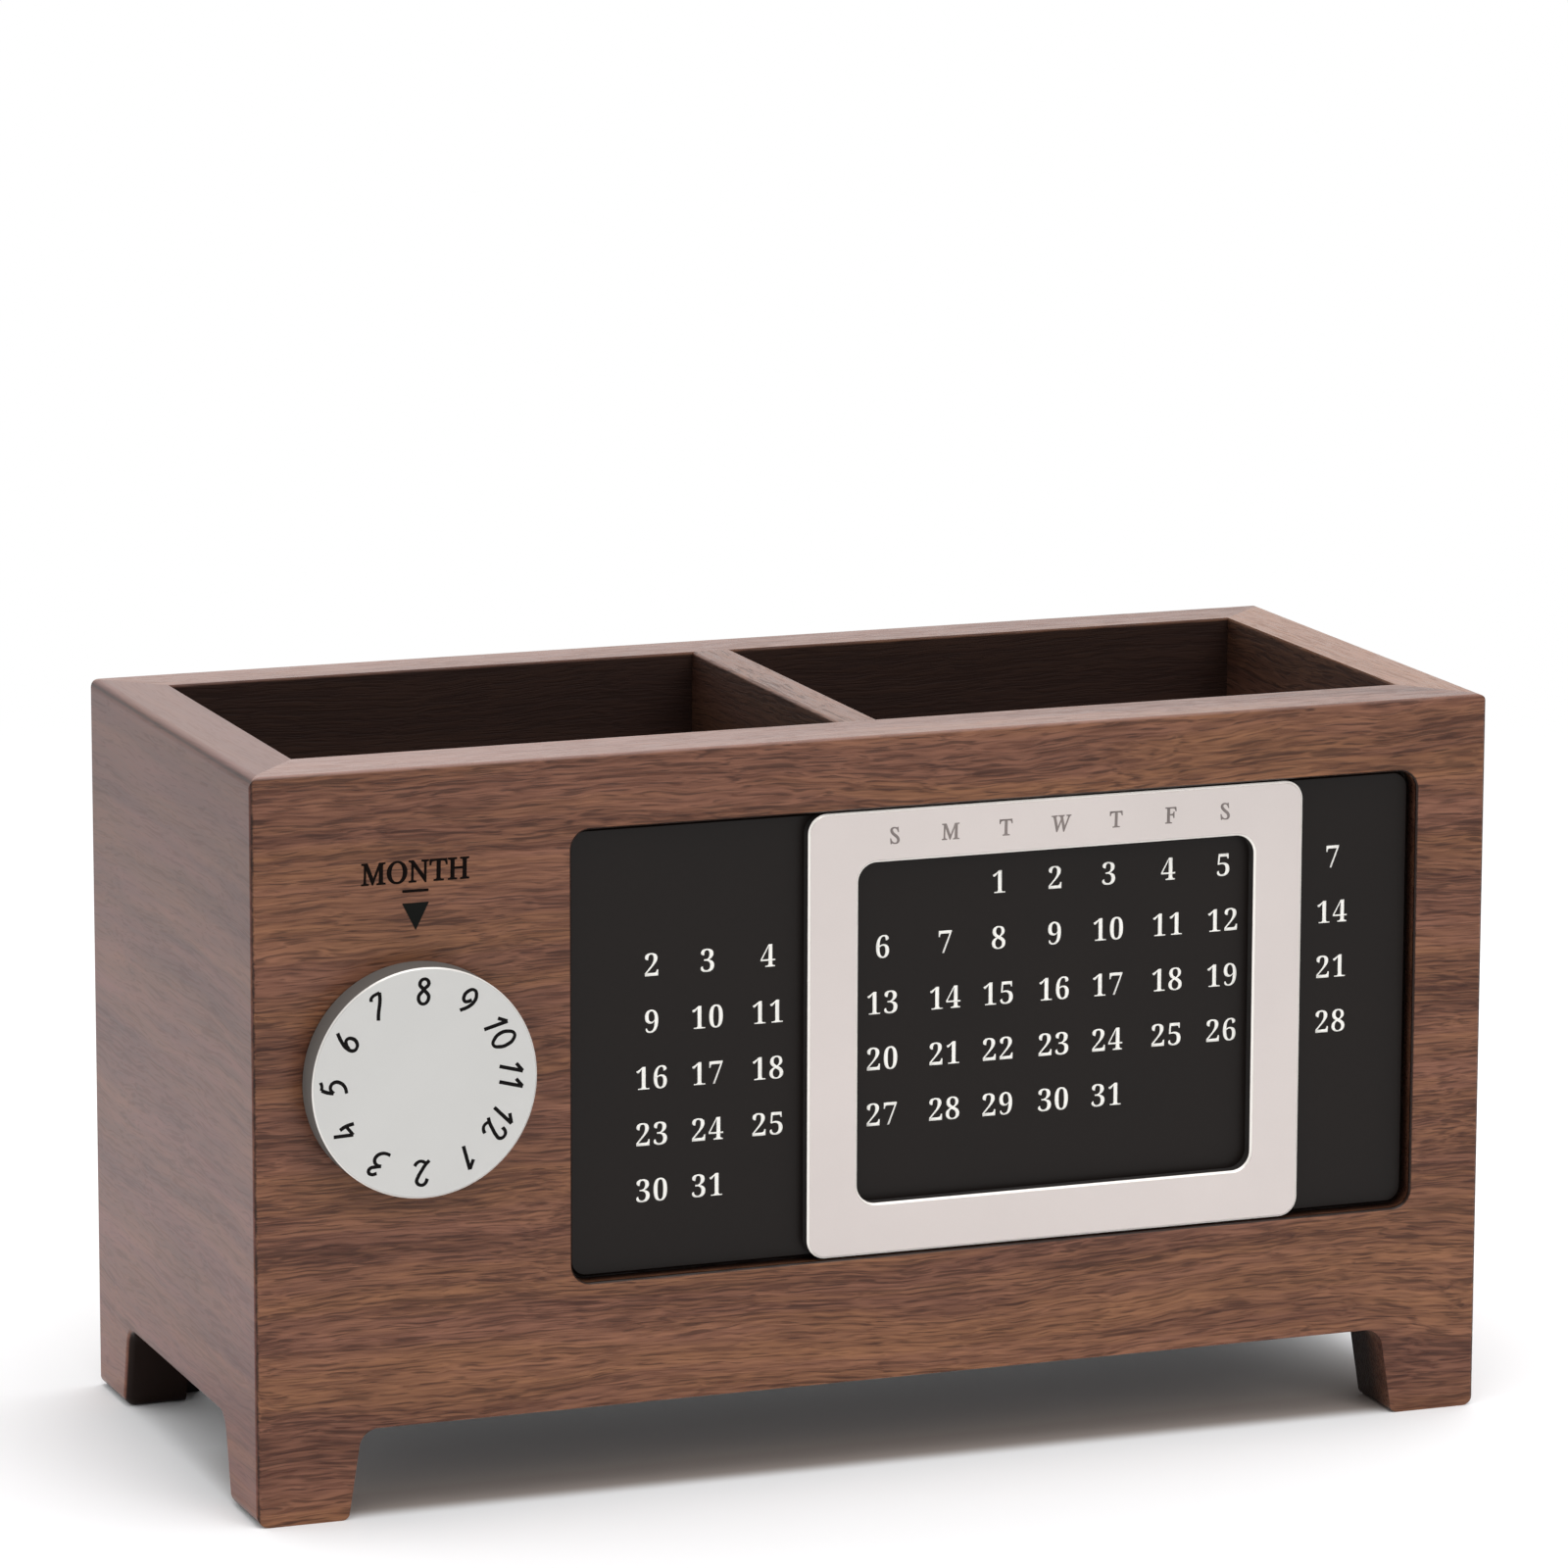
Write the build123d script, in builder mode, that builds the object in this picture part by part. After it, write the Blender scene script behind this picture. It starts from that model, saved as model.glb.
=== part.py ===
"""Perpetual calendar pen holder: a mitred walnut box on four feet, with a sliding week frame and a month dial.

Millimetres. +X runs along the front to the right, +Y from the front to the back, +Z up.
The origin is under the middle of the whole object, on the surface that its feet stand on.
"""

import os
from math import atan2, degrees

from build123d import *

os.makedirs("parts", exist_ok=True)

# Box
box_length = 200.0
box_depth = 86.0
box_height = 114.0
front_thickness = 12.0
back_thickness = 9.5
side_thickness = 10.0

# Edges rounded by sanding after the box is glued up
arris_radius = 0.8
side_rim_radius = 1.6
side_foot_radius = 2.0
long_rim_radius = 0.4

# Feet, left standing where an arch is sawn out of the bottom of each board
long_arch_height = 13.8
long_foot_toe = 14.2
long_foot_top = 16.4
side_arch_height = 13.0
side_foot_toe = 14.4
side_foot_top = 17.4
arch_radius = 3.0
toe_radius = 1.2

# Floor, held in a groove all round
floor_thickness = 5.0
floor_underside = 17.5
floor_groove_depth = 4.0

# Divider, housed in the front and back boards and stopped below the rim
divider_thickness = 6.5
housing_depth = 3.0
housing_stop = 12.0
divider_edge_radius = 0.5

# Hidden spline across each mitre
spline_width = 8.0
spline_thickness = 3.0
spline_length = 78.0
spline_setback = 9.0
spline_bottom = 27.0

# Slack of glued wood joints, on each side
glue_clearance = 0.05

# Calendar recess in the front board, and the plate stuck in it
recess_left_margin = 49.7
recess_right_margin = 11.7
recess_bottom = 33.1
recess_top_margin = 11.3
recess_radius = 3.0
recess_mouth_chamfer = 0.3
plate_thickness = 1.0
plate_gap = 0.4
plate_bevel = 0.35
tape_thickness = 0.2
tape_inset = 3.0

# Week frame, which slides on the plate and shows seven of its thirteen columns
columns_shown = 7
columns_to_left = 4
columns_to_right = 2
stop_gap = 0.55
frame_side_bar = 8.1
frame_rail = 8.0
frame_thickness = 2.1
frame_radius = 3.0
frame_window_radius = 3.0
frame_edge_chamfer = 0.35
frame_rail_gap = 0.3
frame_plate_gap = 0.1
frame_setback = 0.2

# Magnets let into the back of the frame
magnet_radius = 2.5
magnet_thickness = 1.2
magnet_slack = 0.05
magnet_spacing = 40.0

# Month dial and the parts that it turns on
dial_x = 24.9
dial_z = 67.4
dial_radius = 17.5
dial_thickness = 5.0
dial_gap = 0.4
dial_face_bevel = 0.25
dial_back_chamfer = 0.2
hub_radius = 3.0
running_clearance = 0.05
bush_wall = 1.5
bush_flange_radius = 7.0
bush_flange_thickness = 1.0
press_clearance = 0.02
glide_washer_radius = 6.5
screw_well_radius = 6.5
screw_well_depth = 6.0
disc_spring_radius = 5.6
disc_spring_thickness = 0.3
disc_spring_height = 0.75
flat_washer_radius = 5.5
flat_washer_thickness = 0.5
screw_radius = 1.5
screw_length = 6.0
screw_head_radius = 2.75
screw_head_height = 1.9
screw_head_round = 0.6
hex_socket_radius = 1.15
hex_socket_depth = 1.0
thread_clearance = 0.05
tap_overrun = 0.6
cover_thickness = 1.9
cover_chamfer = 0.3

# Places that follow from the sizes above
dial_standoff = dial_gap + dial_thickness
front_y = (dial_standoff - box_depth) / 2
back_y = front_y + box_depth
half_length = box_length / 2
inner_x = half_length - side_thickness
inner_front_y = front_y + front_thickness
inner_back_y = back_y - back_thickness
inner_middle_y = (inner_front_y + inner_back_y) / 2
inner_depth = inner_back_y - inner_front_y
floor_top = floor_underside + floor_thickness
recess_depth = frame_setback + frame_thickness + frame_plate_gap + plate_thickness + tape_thickness
recess_width = box_length - recess_left_margin - recess_right_margin
recess_height = box_height - recess_bottom - recess_top_margin
recess_left = recess_left_margin - half_length
recess_x = recess_left + recess_width / 2
recess_z = recess_bottom + recess_height / 2
column_count = columns_to_left + columns_shown + columns_to_right
column_pitch = (recess_width - 2 * stop_gap - 2 * frame_side_bar) / column_count
frame_height = recess_height - 2 * frame_rail_gap
frame_window_height = frame_height - 2 * frame_rail
frame_window_width = columns_shown * column_pitch
frame_width = frame_window_width + 2 * frame_side_bar
frame_x = recess_left + stop_gap + columns_to_left * column_pitch + frame_width / 2
frame_back_depth = frame_setback + frame_thickness
plate_face_depth = frame_back_depth + frame_plate_gap
plate_back_depth = plate_face_depth + plate_thickness
dial_centre = (dial_x - half_length, dial_z)
bush_radius = hub_radius + running_clearance + bush_wall
bush_end_depth = front_thickness - screw_well_depth
hub_end_depth = bush_end_depth + running_clearance + disc_spring_height
washer_back_depth = hub_end_depth + flat_washer_thickness

outer_corners = {
    "front_left": (-half_length, front_y),
    "front_right": (half_length, front_y),
    "back_right": (half_length, back_y),
    "back_left": (-half_length, back_y),
}
inner_corners = {
    "front_left": (-inner_x, inner_front_y),
    "front_right": (inner_x, inner_front_y),
    "back_right": (inner_x, inner_back_y),
    "back_left": (-inner_x, inner_back_y),
}


def facing(depth):
    """Plane parallel to the front face and that far behind it, seen from the front."""
    return Plane.XZ.offset(-(front_y + depth))


def board_plan(first, second):
    """Plan of the board between two corners: its slanted ends are the mitres."""
    with BuildSketch() as plan:
        Polygon(
            outer_corners[first],
            outer_corners[second],
            inner_corners[second],
            inner_corners[first],
            align=None,
        )
    return plan.sketch


def spline_plan(corner, slack=0.0):
    """Plan of the hidden spline of one corner, square across its mitre."""
    outer = Vector(*outer_corners[corner])
    mitre = Vector(*inner_corners[corner]) - outer
    middle = outer + mitre.normalized() * spline_setback
    turn = degrees(atan2(mitre.Y, mitre.X)) + 90
    with BuildSketch(Plane.XY.offset(spline_bottom - slack)) as plan:
        with Locations(Location((middle.X, middle.Y), turn)):
            Rectangle(spline_width + 2 * slack, spline_thickness + 2 * slack)
    return plan.sketch


def arch_outline(plane, left, right, height, toe, top):
    """Arch between two feet, whose inner edges lean out from the top to the toe."""
    with BuildSketch(plane) as outline:
        Polygon(
            (left + toe, 0),
            (right - toe, 0),
            (right - top, height),
            (left + top, height),
            align=None,
        )
        fillet(outline.vertices().group_by(Axis.Y)[-1], arch_radius)
    return outline.sketch


def round_toes(board, grain_across):
    """Round the two bottom edges at the mouth of a board's arch."""
    middle = board.part.center()
    bottom_edges = board.edges().filter_by(grain_across).group_by(Axis.Z)[0]
    fillet(bottom_edges.sort_by_distance((middle.X, middle.Y, 0))[:2], toe_radius)


def cut_floor_groove():
    """Groove for the floor, cut in the board that is being made."""
    with Locations((0, inner_middle_y, floor_underside + floor_thickness / 2)):
        Box(
            2 * (inner_x + floor_groove_depth + glue_clearance),
            inner_depth + 2 * (floor_groove_depth + glue_clearance),
            floor_thickness,
            mode=Mode.SUBTRACT,
        )


def cut_divider_housing():
    """Stopped housing for the divider's tongue, cut in the board that is being made."""
    with Locations((0, inner_middle_y, floor_top)):
        Box(
            divider_thickness + 2 * glue_clearance,
            inner_depth + 2 * (housing_depth + glue_clearance),
            box_height - housing_stop + glue_clearance - floor_top,
            align=(Align.CENTER, Align.CENTER, Align.MIN),
            mode=Mode.SUBTRACT,
        )


def cut_spline_slots(*corners):
    """Blind slots for the mitre splines, cut in the board that is being made."""
    for corner in corners:
        extrude(
            spline_plan(corner, glue_clearance),
            amount=spline_length + 2 * glue_clearance,
            mode=Mode.SUBTRACT,
        )


# Outside of the glued box after sanding: every board keeps the share of it that is its own
with BuildPart() as sanded_box:
    with BuildSketch():
        with Locations((0, (front_y + back_y) / 2)):
            RectangleRounded(box_length, box_depth, arris_radius)
    extrude(amount=box_height)
    with BuildSketch(facing(0)) as end_outline:
        with Locations((0, box_height / 2)):
            Rectangle(box_length, box_height)
        fillet(end_outline.vertices().group_by(Axis.Y)[-1], side_rim_radius)
        fillet(end_outline.vertices().group_by(Axis.Y)[0], side_foot_radius)
    extrude(amount=-box_depth, mode=Mode.INTERSECT)
    with BuildSketch(Plane.YZ.offset(-half_length)) as side_outline:
        with Locations(((front_y + back_y) / 2, box_height / 2)):
            Rectangle(box_depth, box_height)
        fillet(side_outline.vertices().group_by(Axis.Y)[-1], long_rim_radius)
    extrude(amount=box_length, mode=Mode.INTERSECT)

# Front board: calendar recess, dial bearing, arch, and the joints of the box
with BuildPart() as front_panel:
    extrude(board_plan("front_left", "front_right"), amount=box_height)
    add(sanded_box.part, mode=Mode.INTERSECT)
    extrude(
        arch_outline(facing(0), -half_length, half_length, long_arch_height, long_foot_toe, long_foot_top),
        amount=-front_thickness,
        mode=Mode.SUBTRACT,
    )
    round_toes(front_panel, Axis.Y)
    cut_floor_groove()
    cut_divider_housing()
    cut_spline_slots("front_left", "front_right")
    with BuildSketch(facing(recess_depth)):
        with Locations((recess_x, recess_z)):
            RectangleRounded(recess_width, recess_height, recess_radius)
    extrude(amount=recess_depth, mode=Mode.SUBTRACT)
    recess_mouth = front_panel.faces().sort_by(Axis.Y)[0].inner_wires()[0].edges()
    chamfer(recess_mouth, recess_mouth_chamfer)
    with BuildSketch(facing(bush_end_depth)):
        with Locations(dial_centre):
            Circle(bush_radius + press_clearance)
    extrude(amount=bush_end_depth, mode=Mode.SUBTRACT)
    with BuildSketch(facing(bush_flange_thickness)):
        with Locations(dial_centre):
            Circle(bush_flange_radius + press_clearance)
    extrude(amount=bush_flange_thickness, mode=Mode.SUBTRACT)
    with BuildSketch(facing(front_thickness)):
        with Locations(dial_centre):
            Circle(screw_well_radius)
    extrude(amount=screw_well_depth, mode=Mode.SUBTRACT)

# Back board
with BuildPart() as back_panel:
    extrude(board_plan("back_right", "back_left"), amount=box_height)
    add(sanded_box.part, mode=Mode.INTERSECT)
    extrude(
        arch_outline(
            facing(box_depth), -half_length, half_length, long_arch_height, long_foot_toe, long_foot_top
        ),
        amount=back_thickness,
        mode=Mode.SUBTRACT,
    )
    round_toes(back_panel, Axis.Y)
    cut_floor_groove()
    cut_divider_housing()
    cut_spline_slots("back_left", "back_right")

# Left end board
with BuildPart() as left_panel:
    extrude(board_plan("back_left", "front_left"), amount=box_height)
    add(sanded_box.part, mode=Mode.INTERSECT)
    extrude(
        arch_outline(
            Plane.YZ.offset(-half_length), front_y, back_y, side_arch_height, side_foot_toe, side_foot_top
        ),
        amount=side_thickness,
        mode=Mode.SUBTRACT,
    )
    round_toes(left_panel, Axis.X)
    cut_floor_groove()
    cut_spline_slots("front_left", "back_left")

# Right end board
with BuildPart() as right_panel:
    extrude(board_plan("front_right", "back_right"), amount=box_height)
    add(sanded_box.part, mode=Mode.INTERSECT)
    extrude(
        arch_outline(
            Plane.YZ.offset(inner_x), front_y, back_y, side_arch_height, side_foot_toe, side_foot_top
        ),
        amount=side_thickness,
        mode=Mode.SUBTRACT,
    )
    round_toes(right_panel, Axis.X)
    cut_floor_groove()
    cut_spline_slots("front_right", "back_right")

# Floor of both compartments
with BuildPart() as floor_panel:
    with BuildSketch(Plane.XY.offset(floor_underside)):
        with Locations((0, inner_middle_y)):
            Rectangle(2 * (inner_x + floor_groove_depth), inner_depth + 2 * floor_groove_depth)
    extrude(amount=floor_thickness)

# Divider: full height between the boards, with a tongue at each end
with BuildPart() as divider:
    with BuildSketch(Plane.XY.offset(floor_top)):
        with Locations((0, inner_middle_y)):
            Rectangle(divider_thickness, inner_depth)
    extrude(amount=box_height - floor_top)
    fillet(divider.edges().filter_by(Axis.Y).group_by(Axis.Z)[-1], divider_edge_radius)
    with BuildSketch(Plane.XY.offset(floor_top)):
        with Locations((0, inner_middle_y)):
            Rectangle(divider_thickness, inner_depth + 2 * housing_depth)
    extrude(amount=box_height - housing_stop - floor_top)

# Black steel calendar plate with bevelled edges
with BuildPart() as calendar_plate:
    with BuildSketch(facing(plate_back_depth)):
        with Locations((recess_x, recess_z)):
            RectangleRounded(
                recess_width - 2 * plate_gap,
                recess_height - 2 * plate_gap,
                recess_radius - plate_gap,
            )
    extrude(amount=plate_thickness)
    chamfer(calendar_plate.faces().sort_by(Axis.Y)[0].edges(), plate_bevel)

# Double-sided tape behind the plate
with BuildPart() as plate_tape:
    with BuildSketch(facing(recess_depth)):
        with Locations((recess_x, recess_z)):
            Rectangle(recess_width - 2 * tape_inset, recess_height - 2 * tape_inset)
    extrude(amount=tape_thickness)

# Week frame: a flat metal window with a pocket for a magnet near each corner
with BuildPart() as slider_frame:
    with BuildSketch(facing(frame_back_depth)):
        with Locations((frame_x, recess_z)):
            RectangleRounded(frame_width, frame_height, frame_radius)
            RectangleRounded(
                frame_window_width, frame_window_height, frame_window_radius, mode=Mode.SUBTRACT
            )
    extrude(amount=frame_thickness)
    chamfer(slider_frame.faces().sort_by(Axis.Y)[0].edges(), frame_edge_chamfer)
    with BuildSketch(facing(frame_back_depth)):
        with Locations((frame_x, recess_z)):
            with GridLocations(frame_window_width + frame_side_bar, magnet_spacing, 2, 2):
                Circle(magnet_radius + magnet_slack)
    extrude(amount=magnet_thickness + magnet_slack, mode=Mode.SUBTRACT)

# Month dial: a turned disc with a hub that runs in the bush and is tapped for the screw
with BuildPart() as month_dial:
    with BuildSketch(facing(-dial_gap)):
        with Locations(dial_centre):
            Circle(dial_radius)
    extrude(amount=dial_thickness)
    chamfer(month_dial.faces().sort_by(Axis.Y)[0].edges(), dial_face_bevel)
    chamfer(month_dial.faces().sort_by(Axis.Y)[-1].edges(), dial_back_chamfer)
    with BuildSketch(facing(hub_end_depth)):
        with Locations(dial_centre):
            Circle(hub_radius)
    extrude(amount=hub_end_depth + dial_gap)
    with BuildSketch(facing(hub_end_depth)):
        with Locations(dial_centre):
            Circle(screw_radius + thread_clearance)
    extrude(amount=screw_length + tap_overrun, mode=Mode.SUBTRACT)

# Flanged brass bush, pressed into the front board from the front
with BuildPart() as dial_bush:
    with BuildSketch(facing(bush_end_depth)):
        with Locations(dial_centre):
            Circle(bush_radius)
    extrude(amount=bush_end_depth)
    with BuildSketch(facing(bush_flange_thickness)):
        with Locations(dial_centre):
            Circle(bush_flange_radius)
    extrude(amount=bush_flange_thickness)
    with BuildSketch(facing(bush_end_depth)):
        with Locations(dial_centre):
            Circle(hub_radius + running_clearance)
    extrude(amount=bush_end_depth, mode=Mode.SUBTRACT)

# Plastic glide washer between the dial and the bush
with BuildPart() as glide_washer:
    with BuildSketch(facing(-running_clearance)):
        with Locations(dial_centre):
            Circle(glide_washer_radius)
            Circle(hub_radius + running_clearance, mode=Mode.SUBTRACT)
    extrude(amount=dial_gap - running_clearance)

# Conical disc spring that keeps the dial from turning by itself
with BuildPart() as disc_spring:
    with BuildSketch(Plane.XY) as spring_section:
        with BuildLine():
            Polyline(
                (hub_radius + running_clearance, disc_spring_height - disc_spring_thickness),
                (hub_radius + running_clearance, disc_spring_height),
                (disc_spring_radius, disc_spring_thickness),
                (disc_spring_radius, 0),
                close=True,
            )
        make_face()
    revolve(axis=Axis.Y)
disc_spring.part = disc_spring.part.moved(
    Location((dial_centre[0], front_y + bush_end_depth + running_clearance, dial_centre[1]))
)

# Flat washer under the screw head
with BuildPart() as flat_washer:
    with BuildSketch(facing(washer_back_depth)):
        with Locations(dial_centre):
            Circle(flat_washer_radius)
            Circle(screw_radius + running_clearance, mode=Mode.SUBTRACT)
    extrude(amount=flat_washer_thickness)

# Screw that holds the dial from inside the left compartment
with BuildPart() as dial_screw:
    with BuildSketch(facing(washer_back_depth)):
        with Locations(dial_centre):
            Circle(screw_radius)
    extrude(amount=screw_length + flat_washer_thickness)
    with BuildSketch(facing(washer_back_depth + screw_head_height)):
        with Locations(dial_centre):
            Circle(screw_head_radius)
    extrude(amount=screw_head_height)
    fillet(dial_screw.faces().sort_by(Axis.Y)[-1].edges(), screw_head_round)
    with BuildSketch(facing(washer_back_depth + screw_head_height)):
        with Locations(dial_centre):
            RegularPolygon(hex_socket_radius, 6)
    extrude(amount=hex_socket_depth, mode=Mode.SUBTRACT)

# Walnut button that closes the screw well
with BuildPart() as screw_cover:
    with BuildSketch(facing(front_thickness)):
        with Locations(dial_centre):
            Circle(screw_well_radius - glue_clearance)
    extrude(amount=cover_thickness)
    chamfer(screw_cover.faces().sort_by(Axis.Y)[-1].edges(), cover_chamfer)

pieces = {
    "front_panel": front_panel.part,
    "back_panel": back_panel.part,
    "left_panel": left_panel.part,
    "right_panel": right_panel.part,
    "floor_panel": floor_panel.part,
    "divider": divider.part,
    "calendar_plate": calendar_plate.part,
    "plate_tape": plate_tape.part,
    "slider_frame": slider_frame.part,
    "month_dial": month_dial.part,
    "dial_bush": dial_bush.part,
    "glide_washer": glide_washer.part,
    "disc_spring": disc_spring.part,
    "flat_washer": flat_washer.part,
    "dial_screw": dial_screw.part,
    "screw_cover": screw_cover.part,
}

# One hidden spline in each mitre
for corner in outer_corners:
    with BuildPart() as mitre_spline:
        extrude(spline_plan(corner), amount=spline_length)
    pieces["mitre_spline_" + corner] = mitre_spline.part

# One magnet in each pocket of the week frame
for end, side in (("left", -1), ("right", 1)):
    for level, rise in (("lower", -1), ("upper", 1)):
        with BuildPart() as magnet:
            with BuildSketch(facing(frame_back_depth)):
                with Locations(
                    (
                        frame_x + side * (frame_window_width + frame_side_bar) / 2,
                        recess_z + rise * magnet_spacing / 2,
                    )
                ):
                    Circle(magnet_radius)
            extrude(amount=magnet_thickness)
        pieces[f"magnet_{level}_{end}"] = magnet.part

for name, piece in pieces.items():
    piece.label = name
    export_step(piece, f"parts/{name}.step")
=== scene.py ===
"""Looks of a wooden pen box with a perpetual calendar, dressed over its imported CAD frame.

The boards, plate, frame, dial and hidden fittings of the CAD model stay as they are and get their
finishes here. The printed, engraved and burnt lettering is added on the faces that carry it.
All sizes are in metres unless a name ends in _mm.
"""

import logging
import math
from collections.abc import Sequence
from dataclasses import dataclass, field
from enum import Enum
from functools import cache

import bmesh
import bpy
from bpy.types import Material, Mesh, Node, NodeSocket, NodeTree
from mathutils import Matrix, Vector


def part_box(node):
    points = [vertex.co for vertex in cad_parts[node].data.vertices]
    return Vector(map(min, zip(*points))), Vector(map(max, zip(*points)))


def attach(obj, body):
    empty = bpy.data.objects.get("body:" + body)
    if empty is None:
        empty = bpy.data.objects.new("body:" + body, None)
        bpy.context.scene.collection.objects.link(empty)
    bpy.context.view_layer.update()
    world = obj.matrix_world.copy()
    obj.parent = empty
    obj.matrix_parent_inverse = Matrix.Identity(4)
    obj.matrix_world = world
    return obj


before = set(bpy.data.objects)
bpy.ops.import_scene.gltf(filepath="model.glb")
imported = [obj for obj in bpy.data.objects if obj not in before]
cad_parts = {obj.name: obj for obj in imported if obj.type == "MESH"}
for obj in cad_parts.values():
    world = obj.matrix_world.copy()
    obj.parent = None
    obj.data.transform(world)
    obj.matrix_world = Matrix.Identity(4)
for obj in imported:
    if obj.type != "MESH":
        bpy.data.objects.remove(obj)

LOG = logging.getLogger("pen_box")
MM = 0.001
Colour = tuple[float, float, float, float]
Pair = tuple[float, float]
Triple = tuple[float, float, float]
Source = NodeSocket | float | Sequence[float] | None
TONES = (0.3, 0.7)


def shade(*steps: int) -> Colour:
    """Turns red, green and blue from 0 to 255, as a chart gives them, into a linear colour."""
    return (*(step / 255 / 12.92 if step <= 10 else ((step / 255 + 0.055) / 1.055) ** 2.4
              for step in steps), 1.0)


class Grain(Enum):
    """The side of the box that the grain of a board runs along, as a turn about the upright."""

    LENGTH = 0.0
    DEPTH = -math.pi / 2


class Texture(Enum):
    """How a metal surface was finished."""

    BLASTED = "blasted"
    TURNED = "turned"
    PLATED = "plated"


@dataclass(frozen=True)
class Wiring:
    """Adds and joins the nodes of one node tree."""

    tree: NodeTree

    def feed(self, socket: NodeSocket, source: Source) -> None:
        """Joins an input to an output, or sets it to a plain value.

        Args:
            socket: The input.
            source: An output socket, a plain value, or None to leave the input as it is.
        """
        if isinstance(source, NodeSocket):
            self.tree.links.new(source, socket)
        elif source is not None:
            socket.default_value = source

    def node(self, kind: str, sources: Sequence[Source] | dict[int | str, Source] = (),
             **settings: object) -> Node:
        """Adds a node.

        Args:
            kind: Blender's name of the node type.
            sources: What feeds its inputs, in their order or by name or number.
            settings: Properties of the node.

        Returns:
            The new node.
        """
        made = self.tree.nodes.new(kind)
        for name, value in settings.items():
            setattr(made, name, value)
        named = sources if isinstance(sources, dict) else dict(enumerate(sources))
        for key, source in named.items():
            self.feed(made.inputs[key], source)
        return made

    def sum(self, operation: str, *operands: Source, clamp: bool = False) -> NodeSocket:
        """Works out a number by Blender's name of the operation, held from 0 to 1 by clamp."""
        made = self.node("ShaderNodeMath", operands, operation=operation, use_clamp=clamp)
        return made.outputs[0]

    def vector(self, operation: str, *operands: Source) -> NodeSocket:
        """Works out a vector by Blender's name of the operation, or a number for LENGTH."""
        made = self.node("ShaderNodeVectorMath", operands, operation=operation)
        return made.outputs["Value" if operation == "LENGTH" else "Vector"]

    def scaled(self, vector: Source, factor: Source) -> NodeSocket:
        """Multiplies a vector or a colour by a number."""
        made = self.node("ShaderNodeVectorMath", {0: vector, "Scale": factor}, operation="SCALE")
        return made.outputs["Vector"]

    def split(self, vector: Source) -> tuple[NodeSocket, ...]:
        """Takes a vector apart into its three components."""
        return tuple(self.node("ShaderNodeSeparateXYZ", (vector,)).outputs)

    def join(self, *components: Source) -> NodeSocket:
        """Puts a vector together from its three components."""
        return self.node("ShaderNodeCombineXYZ", components).outputs[0]

    def noise(self, place: Source, scale: Source | Triple = 1.0, detail: float = 2.0,
              roughness: float = 0.5) -> NodeSocket:
        """Reads a noise.

        Args:
            place: Where it is read.
            scale: Its scale, or one for each axis.
            detail: Number of finer layers.
            roughness: Strength of the finer layers.

        Returns:
            Its value.
        """
        if isinstance(scale, tuple):
            place, scale = self.vector("MULTIPLY", place, scale), 1.0
        return self.node("ShaderNodeTexNoise", {"Vector": place, "Scale": scale, "Detail": detail,
                                                "Roughness": roughness}).outputs[0]

    def remap(self, value: Source, low: Source, high: Source, out_low: Source = 0.0,
              out_high: Source = 1.0, smooth: bool = False) -> NodeSocket:
        """Maps the range from low to high on another, held inside it and eased if smooth."""
        made = self.node("ShaderNodeMapRange", (value, low, high, out_low, out_high),
                         interpolation_type="SMOOTHSTEP" if smooth else "LINEAR")
        return made.outputs[0]

    def blend(self, factor: Source, first: Source, second: Source) -> NodeSocket:
        """Mixes two colours, the factor being the share of the second."""
        made = self.node("ShaderNodeMix", {0: factor, 6: first, 7: second}, data_type="RGBA")
        return made.outputs[2]

    def relief(self, height: Source, depth: float, strength: float = 1.0) -> NodeSocket:
        """Turns a height from 0 to 1, which stands for a depth in metres, into a bent normal."""
        made = self.node("ShaderNodeBump", {"Height": height, "Distance": depth, "Strength": strength})
        return made.outputs[0]

    def fill(self, node: Node, **sources: Source) -> None:
        """Feeds the inputs of a node by their names, with an underscore for each space."""
        for name, source in sources.items():
            self.feed(node.inputs[name.replace("_", " ")], source)

    def use(self, group: NodeTree, **sources: Source) -> Node:
        """Places a node group, its inputs fed like those of fill."""
        named = {name.replace("_", " "): source for name, source in sources.items()}
        return self.node("ShaderNodeGroup", named, node_tree=group)


def new_group(name: str, inputs: dict[str, str],
              outputs: dict[str, str]) -> tuple[Wiring, Sequence[Source], Node]:
    """Starts a shader node group.

    Args:
        name: The group's name.
        inputs: Kind of socket of each input.
        outputs: Kind of socket of each output.

    Returns:
        The wiring of the group, what its inputs give and the node that takes its outputs.
    """
    tree = bpy.data.node_groups.new(name, "ShaderNodeTree")
    for way, sockets in (("INPUT", inputs), ("OUTPUT", outputs)):
        for label, kind in sockets.items():
            tree.interface.new_socket(label, in_out=way, socket_type=f"NodeSocket{kind}")
    wiring = Wiring(tree)
    given = wiring.node("NodeGroupInput").outputs[:len(inputs)]
    return wiring, given, wiring.node("NodeGroupOutput")


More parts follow.
